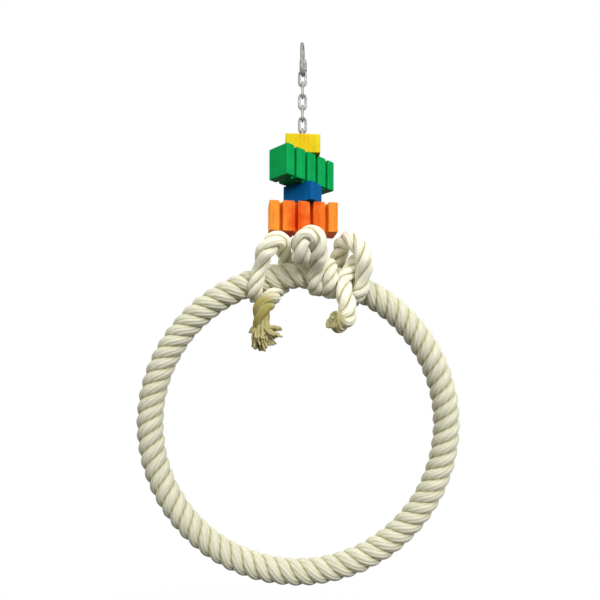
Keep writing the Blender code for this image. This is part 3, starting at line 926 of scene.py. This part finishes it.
def cotton(name, colour, rope):
    """Laid cotton: tinted yarns, fine fibres, and painted shade between strands and at the dirty ends.
    """
    finish, tree, shader = new_finish(name)
    fibre = layer(tree, "fibre", "Vector")
    hairs = noise(tree, fibre, scale=(250, 4200, 4200), detail=4.0, roughness=0.6)
    lumps = noise(tree, fibre, scale=(90, 500, 500), detail=2.0)
    patches = noise(tree, coordinates(tree, "Object"), scale=38.0, detail=2.0)
    light = ranged(tree, hairs, (0.3, 0.7), (0.90, 1.08))
    light = arithmetic(tree, "ADD", ranged(tree, layer(tree, "tint"), (0, 1), (-0.05, 0.05)), light)
    light = arithmetic(tree, "ADD", light, ranged(tree, patches, (0.3, 0.7), (-0.04, 0.04)))
    plain = times(tree, colour, light)
    warm = mixed(tree, ranged(tree, lumps, (0.4, 0.75), (0.0, 0.22)), plain, WARM_COTTON)
    # Dirt together with painted shade darkens the tying rope's frayed and cut ends
    dirtied_and_shaded = mixed(tree, layer(tree, "soil"), warm, times(tree, rope.dirt_and_shade_colour, light))
    rise = arithmetic(tree, "ADD", hairs, ranged(tree, lumps, (0, 1), (0, 0.8)))
    # Painted shade: the furrow colour deep between the strands
    set_inputs(tree, shader, {
        "Base Color": mixed(tree, layer(tree, "crevice"), dirtied_and_shaded, rope.furrow_shade_colour),
        "Normal": bumped(tree, rise, strength=0.35, distance=0.0004), "Roughness": 0.92,
        "Specular IOR Level": 0.18, "Sheen Weight": 0.12, "Sheen Roughness": 0.6})
    return finish


def dyed_wood(name, colour, end_colour, length, turn):
    """Dyed softwood: upright grain and pores, blotchy colour that changes towards the ends, worn edges.

    Its top and bottom are end grain, which drinks more dye.
    """
    finish, tree, shader = new_finish(name)
    place = coordinates(tree, "Object")
    straight = mapped(tree, place, (1, 1, 1), -turn)
    grain = noise(tree, straight, scale=(420, 300, 28), detail=5.0, roughness=0.6, distortion=0.4)
    pores = noise(tree, straight, scale=(2400, 2400, 110), detail=2.0, roughness=0.5)
    pore_share = ranged(tree, pores, (0.60, 0.72), (0.0, 0.5))
    blotch = noise(tree, place, scale=70.0, detail=3.0)
    from_middle = arithmetic(tree, "ABSOLUTE", part_of(tree, straight, "X"))
    # Painted shadow: the orange block's darker middle colour stands for the shade of the blue block
    # above
    end = ranged(tree, from_middle, DYE_AND_SHADE_CHANGE * length, (0.0, 1.0))
    dye_and_shade = mixed(tree, end, colour, end_colour)
    deep = times(tree, dye_and_shade, DEEP_DYE)
    paler, least = 1.25, 0.003
    pale = [min(channel * paler + least, 1.0) for channel in end_colour]
    body = mixed(tree, ranged(tree, grain, (0.30, 0.62), (0.55, 0.0)), dye_and_shade, deep)
    body = mixed(tree, pore_share, body, deep)
    body = mixed(tree, ranged(tree, blotch, (0.35, 0.70), (0.0, 0.5)), body, pale)
    rub = ranged(tree, noise(tree, place, scale=420.0), (0.40, 0.60), (0.0, 0.6))
    body = mixed(tree, arithmetic(tree, "MULTIPLY", layer(tree, "edge"), rub), body, pale)
    upright = arithmetic(tree, "ABSOLUTE", part_of(tree, coordinates(tree, "Normal"), "Z"))
    end_grain = ranged(tree, upright, (0.75, 0.95), (0.0, 1.0))
    rise = arithmetic(tree, "SUBTRACT", grain, pore_share)
    set_inputs(tree, shader, {
        "Base Color": mixed(tree, end_grain, body, times(tree, body, SOAKED_DYE)),
        "Normal": bumped(tree, rise, strength=0.22, distance=0.0005),
        "Roughness": ranged(tree, grain, (0.3, 0.7), (0.72, 0.56)), "Specular IOR Level": 0.07})
    return finish


def plated_steel(name, colour, roughness):
    """Zinc-plated wire: cloudy plating, fine drawing marks and darker rubbed spots."""
    finish, tree, shader = new_finish(name)
    place = coordinates(tree, "Object")
    clouds = noise(tree, place, scale=260.0, detail=4.0, roughness=0.6)
    marks = noise(tree, place, scale=(3000, 3000, 500), detail=2.0)
    spots = noise(tree, place, scale=900.0, detail=2.0)
    duller = 0.70
    dull = [channel * duller for channel in colour]
    body = mixed(tree, ranged(tree, clouds, (0.35, 0.65), (0.0, 0.7)), colour, dull)
    body = mixed(tree, ranged(tree, spots, (0.62, 0.75), (0.0, 0.2)), body, RUBBED_STEEL)
    shine = arithmetic(tree, "ADD", ranged(tree, clouds, (0.3, 0.7), (-0.08, 0.12)), roughness)
    set_inputs(tree, shader, {"Base Color": body, "Roughness": shine, "Metallic": 1.0,
                              "Normal": bumped(tree, marks, strength=0.03, distance=0.0001)})
    return finish


# Operators

# Lamps, with their size and place
LAMPS = (("key", 0.40, (0.58, -0.95, 0.32)), ("fill", 0.60, (-0.40, -0.66, 0.26)),
         ("back", 0.90, (-0.55, 1.15, 0.55)))


class SWING_OT_stage(bpy.types.Operator):
    """Set up the camera, the lights, the white room and the floor"""

    bl_idname = "swing.stage"
    bl_label = "Stage"

    def execute(self, context):
        """Make the stage."""
        stage = context.scene.swing_stage
        camera = add_object("camera", bpy.data.cameras.new("camera"))
        camera.location = (stage.across, -stage.distance, stage.height)
        camera.rotation_euler = (math.pi / 2 + stage.tilt, 0, 0)
        camera.data.lens = stage.lens
        camera.data.sensor_width = 36.0
        camera.data.shift_y = stage.shift
        camera.data.clip_start = 0.01
        context.scene.camera = camera
        context.scene.view_settings.view_transform = "Standard"
        for name, size, place in LAMPS:
            self.lamp(name, getattr(stage, name), size, place)
        self.room(context, stage.room, stage.room_colour)
        self.floor(stage.floor)
        return {"FINISHED"}

    def lamp(self, name, power, size, place):
        """Square soft lamp that faces the middle of the swing."""
        lamp = add_object(name, bpy.data.lights.new(name, "AREA"))
        lamp.data.energy = power
        lamp.data.size = size
        lamp.location = place
        aim = Vector((0, 0, -0.28))
        lamp.rotation_euler = (aim - Vector(place)).to_track_quat("-Z", "Y").to_euler()

    def room(self, context, strength, colour):
        """White room, seen at full white, whose warm light grows from a share of its strength below."""
        below, above, share = -0.5, 0.8, 0.08
        context.scene.world = bpy.data.worlds.new("white_room")
        context.scene.world.use_nodes = True
        tree = context.scene.world.node_tree
        tree.nodes.clear()
        seen = seen_rays(tree, "Camera", "Glossy", "Transmission")
        height = part_of(tree, coordinates(tree, "Generated"), "Z")
        level = ranged(tree, height, (below, above), (share * strength, strength))
        light = add_node(tree, "Background", {
            "Color": mixed(tree, seen, colour, (1, 1, 1)),
            "Strength": ranged(tree, seen, (0, 1), (level, 1.0))})
        add_node(tree, "OutputWorld", {"Surface": light.outputs[0]})

    def floor(self, height):
        """Pale floor: x and y from -reach to reach, with a soft shadow that fades out round a middle."""
        reach, pale, bounce = 3, (0.85, 0.85, 0.85), (0.09, 0.09, 0.09)
        middle, fade_start, fade_end, lightened = (-0.15, 0.15, height), 0.30, 0.62, 0.80
        x, y = np.meshgrid((-reach, reach), (-reach, reach))
        points = np.stack((x, y, np.full(x.shape, height)), axis=-1)
        finish, tree, shader = new_finish("pale_floor")
        seen = seen_rays(tree, "Camera", "Glossy")
        grey = mixed(tree, seen, bounce, pale)
        set_inputs(tree, shader, {"Base Color": grey, "Roughness": 0.9})
        ends = {0: coordinates(tree, "Object"), 1: middle}
        away = add_node(tree, "VectorMath", ends, operation="DISTANCE").outputs["Value"]
        glow = add_node(tree, "Emission", {"Color": (1, 1, 1, 1), "Strength": 1.0})
        share = ranged(tree, away, (fade_start, fade_end), (lightened, 1.0))
        share = arithmetic(tree, "MULTIPLY", seen, share)
        both = add_node(tree, "MixShader", {0: share, 1: shader.outputs[0], 2: glow.outputs[0]})
        set_inputs(tree, tree.nodes["Material Output"], {"Surface": both.outputs[0]})
        floor = add_mesh("floor", points, [(0, 1, 3, 2)], finish)


class SWING_OT_tie_ropes(bpy.types.Operator):
    """Lay the tying rope's two legs from the steel ring round the hoop, with its frayed end"""

    bl_idname = "swing.tie_ropes"
    bl_label = "Tying rope"

    def execute(self, context):
        """Make both legs on one line, so that the strands run on from one to the other."""
        rope = context.scene.swing_rope
        finish = cotton("tying_cotton", rope.tie_colour, rope)
        spacing, laid_end, look_back = 0.00086, 0.5, 20
        left, right = (smooth_route(route_points(route, (0, gap, TIE_ROPE_SEAT)), spacing)
                       for route, gap in ((LEFT_ROUTE, SEAT_GAP), (RIGHT_ROUTE, -SEAT_GAP)))
        whole = np.vstack((right[::-1], left))
        side, up = carried_frame(whole)
        run = travelled(whole)
        seat = len(right)
        for name, part, seed in (("tie_rope_left", slice(seat, None), 40),
                                 ("tie_rope_right", slice(0, seat), 60)):
            line = whole[part]
            travel = run[part] - run[part][0]
            if name == "tie_rope_right":
                laid = slice(None)
                tail, soil = cut_end(travel)
            else:
                lengths = (travel[-1] - travel) / FRAY_LENGTH
                laid = slice(0, int(np.argmax(lengths < laid_end)))
                tail, soil = frayed_tail(lengths)
                root = int(np.argmax(lengths < 1))
                points, faces, layers = make_fray(line[root], unit(line[root] - line[root - look_back]))
                fray = add_piece("frayed_end", points, faces, finish, "hoop", "tie_cotton", (), layers)
            points, faces, layers = make_tie_leg(line[laid], side[part][laid], up[part][laid],
                                                 run[part][laid], rope, seed, tail[laid], soil[laid])
            piece = add_piece(name + "_laid", points, faces, finish, "hoop", "tie_cotton", (name,),
                              layers)
        return {"FINISHED"}


class SWING_OT_hoop(bpy.types.Operator):
    """Lay the hoop's three strands round their core"""

    bl_idname = "swing.hoop"
    bl_label = "Rope hoop"

    def execute(self, context):
        """Make each strand as a piece of its own, and finish the core inside."""
        rope = context.scene.swing_rope
        steel = context.scene.swing_steel
        finish = cotton("hoop_cotton", rope.hoop_colour, rope)
        for number in range(STRANDS):
            points, faces, layers = make_hoop_strand(number, rope)
            add_piece(f"hoop_strand_{number + 1}", points, faces, finish, "hoop", "hoop_cotton",
                      ("hoop_rope",), layers)
        core = plated_steel("core_steel", steel.plate_colour, steel.roughness + CORE_ROUGHER)
        for node in ("hoop_core", "core_sleeve"):
            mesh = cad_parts[node].data
            mesh.materials.clear()
            mesh.materials.append(core)
        return {"FINISHED"}


class SWING_OT_chain(bpy.types.Operator):
    """Weld the chain's links and the steel ring that ends it"""

    bl_idname = "swing.chain"
    bl_label = "Chain and ring"

    def execute(self, context):
        """Make each link on the body that its CAD link rides on."""
        steel = context.scene.swing_steel
        finish = plated_steel("chain_plating", steel.plate_colour, steel.roughness)
        for number in range(1, CHAIN_COUNT + 1):
            body = f"chain_{number}" if number <= SWINGING_LINKS else "lower_chain"
            add_piece(f"welded_link_{number:02d}", *make_chain_link(number), finish, body, "chain_steel",
                      (f"chain_link_{number:02d}",))
        add_piece("welded_ring", *make_tie_ring(), finish, "hoop", "plated_steel", ("tie_ring",))
        return {"FINISHED"}


class SWING_OT_quick_link(bpy.types.Operator):
    """Bend the quick link and cut its sleeve nut"""

    bl_idname = "swing.quick_link"
    bl_label = "Quick link"

    def execute(self, context):
        """Make the hook and its nut."""
        steel = context.scene.swing_steel
        plating = plated_steel("link_plating", steel.link_colour, steel.roughness)
        bright = plated_steel("nut_plating", steel.nut_colour, steel.roughness + NUT_ROUGHER)
        add_piece("bent_hook", *make_quick_link(), plating, "quick_link", "plated_steel",
                  ("quick_link",))
        nut = add_piece("sleeve_nut", *make_nut(), bright, "nut", "plated_nut", ("quick_link_nut",))
        nut.data.set_sharp_from_angle(angle=math.radians(25))
        return {"FINISHED"}


class SWING_OT_blocks(bpy.types.Operator):
    """Cut, groove, drill and dye the four blocks"""

    bl_idname = "swing.blocks"
    bl_label = "Wooden blocks"

    def execute(self, context):
        """Make each block between the levels of its CAD node."""
        wood = context.scene.swing_wood
        for name, length, width, degrees, grooves in BLOCKS:
            turn = math.radians(degrees)
            low, high = (corner[2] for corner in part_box(name + "_block"))
            points, faces, edge, smooth = make_block(length, width, turn, grooves, low, high, wood.edge)
            colour = getattr(wood, name)
            end_colour = getattr(wood, name + "_end", colour)
            finish = dyed_wood(name + "_dyed_wood", colour, end_colour, length, turn)
            block = add_piece(name + "_drilled", points, faces, finish, name, name + "_wood",
                              (name + "_block",), {"edge": edge})
            block.data.polygons.foreach_set("use_smooth", smooth)
            block.modifiers.new("even_shading", "WEIGHTED_NORMAL").keep_sharp = True
        return {"FINISHED"}


class SWING_PT_panel(bpy.types.Panel):
    """Lists the swing's pieces and settings"""

    bl_label = "Rope ring bird swing"
    bl_idname = "SWING_PT_panel"
    bl_space_type = "VIEW_3D"
    bl_region_type = "UI"
    bl_category = "Swing"

    def draw(self, context):
        """Draw a button for each piece, then the settings."""
        for operator in OPERATORS:
            self.layout.operator(operator.bl_idname)
        for name, group in SETTINGS.items():
            box = self.layout.box()
            box.label(text=group.__doc__)
            for field in group.__annotations__:
                box.prop(getattr(context.scene, name), field)


SETTINGS = {"swing_rope": SwingRope, "swing_wood": SwingWood, "swing_steel": SwingSteel,
            "swing_stage": SwingStage}
OPERATORS = (SWING_OT_stage, SWING_OT_tie_ropes, SWING_OT_hoop, SWING_OT_chain, SWING_OT_quick_link,
             SWING_OT_blocks)


def register():
    """Register the settings, operators and panel."""
    for name, group in SETTINGS.items():
        bpy.utils.register_class(group)
        setattr(bpy.types.Scene, name, PointerProperty(type=group))
    for operator in (*OPERATORS, SWING_PT_panel):
        bpy.utils.register_class(operator)


def unregister():
    """Remove them again."""
    for operator in (SWING_PT_panel, *reversed(OPERATORS)):
        bpy.utils.unregister_class(operator)
    for name, group in SETTINGS.items():
        delattr(bpy.types.Scene, name)
        bpy.utils.unregister_class(group)


def main():
    """Build every piece in order."""
    register()
    bpy.ops.swing.stage()
    bpy.ops.swing.tie_ropes()
    bpy.ops.swing.hoop()
    bpy.ops.swing.chain()
    bpy.ops.swing.quick_link()
    bpy.ops.swing.blocks()


if __name__ == "__main__":
    main()
